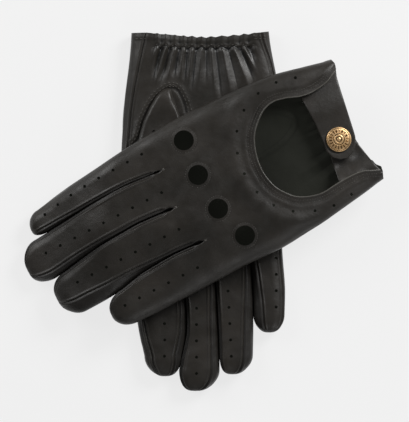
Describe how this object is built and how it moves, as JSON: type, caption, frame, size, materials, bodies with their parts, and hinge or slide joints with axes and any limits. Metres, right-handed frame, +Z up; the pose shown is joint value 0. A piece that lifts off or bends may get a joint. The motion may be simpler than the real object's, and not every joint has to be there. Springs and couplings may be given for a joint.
{
  "type": "leather driving gloves",
  "caption": "Pair of unlined black leather driving gloves laid crossed, with knuckle holes, keyhole backs, strap and snap wrists, perforated fingers and gathered palms.",
  "frame": {"origin": "under the middle of the pair's footprint, on the surface that the gloves lie on", "axes": "+Z up from that surface; -Y towards the fingertips of the lower, right glove; the upper, left glove lies across it with its fingertips towards -X"},
  "size_m": [0.2262, 0.2276, 0.0337],
  "materials": {
    "leather": "very dark brown-black smooth leather with a fine grain and a soft gloss",
    "gusset_leather": "the same leather, a little more matt, between the fingers",
    "binding_leather": "thin folded edge of the same leather with a pale cut edge",
    "brass": null,
    "nickel": "dull plated snap parts",
    "elastic": "black ribbed elastic tape"
  },
  "bodies": {
    "right_hand": {"right_back_panel": "leather", "right_palm_panel": "leather", "right_fourchette_index_middle": "gusset_leather", "right_fourchette_middle_ring": "gusset_leather", "right_fourchette_ring_little": "gusset_leather", "right_strap_tab": "leather", "right_snap_stud": "nickel", "right_snap_post": "nickel", "right_keyhole_binding": "binding_leather", "right_wrist_elastic": "elastic"},
    "right_strap": {"right_strap": "leather", "right_snap_cap": "brass", "right_snap_socket": "nickel"},
    "right_thumb": {"right_thumb_front": "leather", "right_thumb_back": "leather"},
    "right_index_tip": {"right_index_tip_back": "leather", "right_index_tip_palm": "leather", "right_index_tip_gusset_littleward": "gusset_leather"},
    "right_middle_tip": {"right_middle_tip_back": "leather", "right_middle_tip_palm": "leather", "right_middle_tip_gusset_thumbward": "gusset_leather", "right_middle_tip_gusset_littleward": "gusset_leather"},
    "right_ring_tip": {"right_ring_tip_back": "leather", "right_ring_tip_palm": "leather", "right_ring_tip_gusset_thumbward": "gusset_leather", "right_ring_tip_gusset_littleward": "gusset_leather"},
    "right_little_tip": {"right_little_tip_back": "leather", "right_little_tip_palm": "leather", "right_little_tip_gusset_thumbward": "gusset_leather"},
    "left_hand": {"left_back_panel": "leather", "left_palm_panel": "leather", "left_fourchette_index_middle": "gusset_leather", "left_fourchette_middle_ring": "gusset_leather", "left_fourchette_ring_little": "gusset_leather", "left_strap_tab": "leather", "left_snap_stud": "nickel", "left_snap_post": "nickel", "left_keyhole_binding": "binding_leather", "left_wrist_elastic": "elastic"},
    "left_strap": {"left_strap": "leather", "left_snap_cap": "brass", "left_snap_socket": "nickel"},
    "left_thumb": {"left_thumb_front": "leather", "left_thumb_back": "leather"},
    "left_index_tip": {"left_index_tip_back": "leather", "left_index_tip_palm": "leather", "left_index_tip_gusset_littleward": "gusset_leather"},
    "left_middle_tip": {"left_middle_tip_back": "leather", "left_middle_tip_palm": "leather", "left_middle_tip_gusset_thumbward": "gusset_leather", "left_middle_tip_gusset_littleward": "gusset_leather"},
    "left_ring_tip": {"left_ring_tip_back": "leather", "left_ring_tip_palm": "leather", "left_ring_tip_gusset_thumbward": "gusset_leather", "left_ring_tip_gusset_littleward": "gusset_leather"},
    "left_little_tip": {"left_little_tip_back": "leather", "left_little_tip_palm": "leather", "left_little_tip_gusset_thumbward": "gusset_leather"}
  },
  "joints": [
    {"name": "right_strap_open", "type": "hinge", "parent": "right_hand", "child": "right_strap", "pos_m": [-0.0295, 0.1018, -0.0005], "axis": [0, 1, 0], "range_deg": [0, 150]},
    {"name": "right_thumb_swing", "type": "hinge", "parent": "right_hand", "child": "right_thumb", "pos_m": [-0.021, 0.0768, 0.0168], "axis": [0, 0, -1], "range_deg": [0, 30]},
    {"name": "right_index_curl", "type": "hinge", "parent": "right_hand", "child": "right_index_tip", "pos_m": [-0.0265, -0.0782, 0.0062], "axis": [-1, 0, 0], "range_deg": [0, 60]},
    {"name": "right_middle_curl", "type": "hinge", "parent": "right_hand", "child": "right_middle_tip", "pos_m": [-0.002, -0.0642, 0.0062], "axis": [-1, 0, 0], "range_deg": [0, 60]},
    {"name": "right_ring_curl", "type": "hinge", "parent": "right_hand", "child": "right_ring_tip", "pos_m": [0.0195, -0.0532, 0.0062], "axis": [-1, 0, 0], "range_deg": [0, 60]},
    {"name": "right_little_curl", "type": "hinge", "parent": "right_hand", "child": "right_little_tip", "pos_m": [0.041, -0.0402, 0.0062], "axis": [-1, 0, 0], "range_deg": [0, 60]},
    {"name": "left_strap_open", "type": "hinge", "parent": "left_hand", "child": "left_strap", "pos_m": [0.07358, 0.07617, 0.03257], "axis": [-0.8825, -0.4594, 0.1007], "range_deg": [0, 150]},
    {"name": "left_thumb_swing", "type": "hinge", "parent": "left_hand", "child": "left_thumb", "pos_m": [0.05532, 0.05709, 0.0168], "axis": [0, 0, -1], "range_deg": [0, 30]},
    {"name": "left_index_curl", "type": "hinge", "parent": "left_hand", "child": "left_index_tip", "pos_m": [-0.06922, 0.0148, 0.02368], "axis": [-0.4617, 0.887, 0], "range_deg": [0, 35]},
    {"name": "left_middle_curl", "type": "hinge", "parent": "left_hand", "child": "left_middle_tip", "pos_m": [-0.06816, -0.00889, 0.02409], "axis": [-0.4617, 0.887, 0], "range_deg": [0, 35]},
    {"name": "left_ring_curl", "type": "hinge", "parent": "left_hand", "child": "left_ring_tip", "pos_m": [-0.05037, -0.03007, 0.02303], "axis": [-0.4617, 0.887, 0], "range_deg": [0, 35]},
    {"name": "left_little_curl", "type": "hinge", "parent": "left_hand", "child": "left_little_tip", "pos_m": [-0.02595, -0.04666, 0.01983], "axis": [-0.4617, 0.887, 0], "range_deg": [0, 35]},
    {"name": "left_glove_lift", "type": "slide", "parent": "right_hand", "child": "left_hand", "axis": [0, 0, 1], "range_m": [0, 0.1]}
  ]
}
